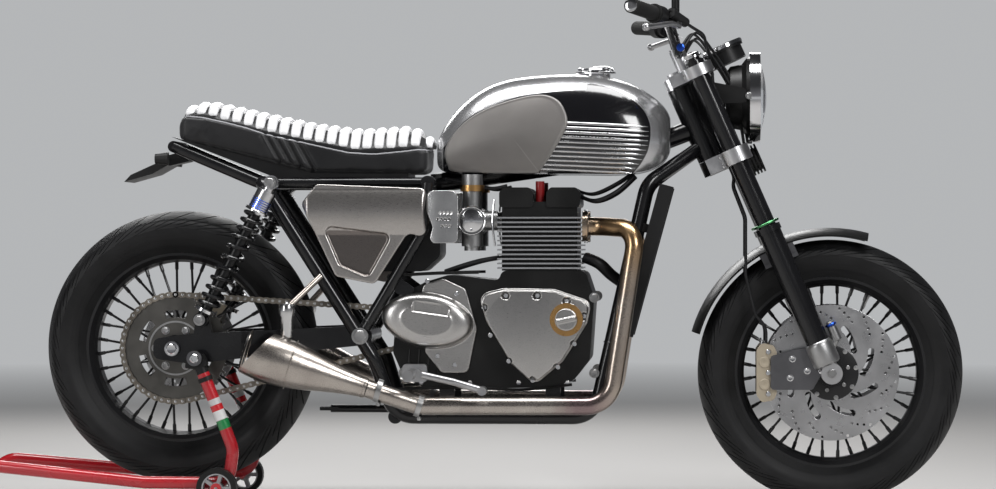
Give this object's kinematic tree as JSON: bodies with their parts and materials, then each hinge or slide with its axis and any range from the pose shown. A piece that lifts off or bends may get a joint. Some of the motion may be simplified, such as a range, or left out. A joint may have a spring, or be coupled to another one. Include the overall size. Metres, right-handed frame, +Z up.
{
  "type": "cafe racer motorcycle on a rear paddock stand",
  "caption": "Retro parallel-twin cafe racer motorcycle with wire wheels, ribbed seat and slash-cut silencers, raised on a red rear paddock stand; wheels, steering and side stand move",
  "frame": {"origin": "on the floor under the middle of the whole thing, between the stand's handle and the front tyre", "axes": "+X to the front of the motorcycle, +Y to its left, +Z up"},
  "size_m": [2.322, 0.7574, 1.184],
  "materials": {
    "frame_black": "gloss black powder coat",
    "wheel_black": "satin black",
    "fork_black": "gloss black anodised",
    "engine_black": "satin black",
    "fender_black": "satin black",
    "spring_black": "gloss black",
    "stand_red": "gloss red",
    "tank_silver": "silver lacquer with black panels",
    "caliper_gold": "warm beige gold anodised",
    "brushed_alloy": "brushed",
    "alloy": "satin",
    "stainless": "brushed, blued at the bends",
    "zinc_steel": "zinc plated",
    "disc_steel": "ground",
    "sprocket_steel": "machined",
    "chain_steel": "oiled",
    "brass": "satin",
    "hose_rubber": "braided and sleeved, black",
    "chrome": "mirror",
    "plug_red": "gloss",
    "plastic_black": "satin",
    "reservoir_smoke": "smoked clear",
    "grip_rubber": "matt",
    "tyre_rubber": "matt black",
    "lamp_glass": "clear",
    "seat_leather": "black with white tuck and roll ribs"
  },
  "bodies": {
    "chassis": {"main_frame": "frame_black", "swingarm": "frame_black", "rear_axle": "zinc_steel", "rear_caliper": "caliper_gold", "shock_bodies": "alloy", "shock_springs": "spring_black", "crankcase": "engine_black", "barrel": "engine_black", "cylinder_head": "engine_black", "plug_caps": "plug_red", "right_covers": "brushed_alloy", "left_covers": "brushed_alloy", "brass_rings": "brass", "throttle_bodies": "alloy", "throttle_covers": "brushed_alloy", "side_covers": "brushed_alloy", "fuel_tank": "tank_silver", "fuel_cap": "chrome", "seat": "seat_leather", "seat_pan": "plastic_black", "tail_unit": "plastic_black", "exhausts": "stainless", "radiator": "plastic_black", "foot_sets": "alloy", "drive_chain": "chain_steel", "paddock_stand": "stand_red", "stand_cradles": "plastic_black"},
    "steering": {"yokes": "alloy", "fork_legs": "fork_black", "front_axle": "zinc_steel", "front_fender": "fender_black", "fork_brackets": "alloy", "front_calipers": "caliper_gold", "brake_hoses": "hose_rubber", "headlight_bucket": "fender_black", "headlight_rim": "chrome", "headlight_lens": "lamp_glass", "handlebar": "frame_black", "grips": "grip_rubber", "bar_clamps": "alloy", "speedometer": "plastic_black", "horn": "plastic_black", "bar_controls": "plastic_black", "levers": "alloy", "fluid_cup": "reservoir_smoke"},
    "front_wheel": {"front_tyre": "tyre_rubber", "front_wire_wheel": "wheel_black", "front_discs": "disc_steel"},
    "rear_wheel": {"rear_tyre": "tyre_rubber", "rear_wire_wheel": "wheel_black", "rear_disc": "disc_steel", "rear_sprocket": "sprocket_steel"},
    "side_stand": {"side_stand": "frame_black"},
    "stand_wheel_right": {"stand_wheel_right": "tyre_rubber"},
    "stand_wheel_left": {"stand_wheel_left": "tyre_rubber"}
  },
  "joints": [
    {"name": "steering_head", "type": "hinge", "parent": "chassis", "child": "steering", "pos_m": [0.55877, 0, 0.86409], "axis": [-0.4019, 0, 0.9157], "range_deg": [-30, 30]},
    {"name": "front_wheel_spin", "type": "hinge", "parent": "steering", "child": "front_wheel", "pos_m": [0.861, 0, 0.3], "axis": [0, 1, 0], "continuous": true},
    {"name": "rear_wheel_spin", "type": "hinge", "parent": "chassis", "child": "rear_wheel", "pos_m": [-0.621, 0, 0.354], "axis": [0, 1, 0], "continuous": true},
    {"name": "side_stand_fold", "type": "hinge", "parent": "chassis", "child": "side_stand", "pos_m": [-0.121, 0.146, 0.205], "axis": [0, -1, 0], "range_deg": [0, 100]},
    {"name": "stand_wheel_right_spin", "type": "hinge", "parent": "chassis", "child": "stand_wheel_right", "pos_m": [-0.51, -0.222, 0.045], "axis": [0, 1, 0], "continuous": true},
    {"name": "stand_wheel_left_spin", "type": "hinge", "parent": "chassis", "child": "stand_wheel_left", "pos_m": [-0.51, 0.222, 0.045], "axis": [0, 1, 0], "continuous": true}
  ]
}
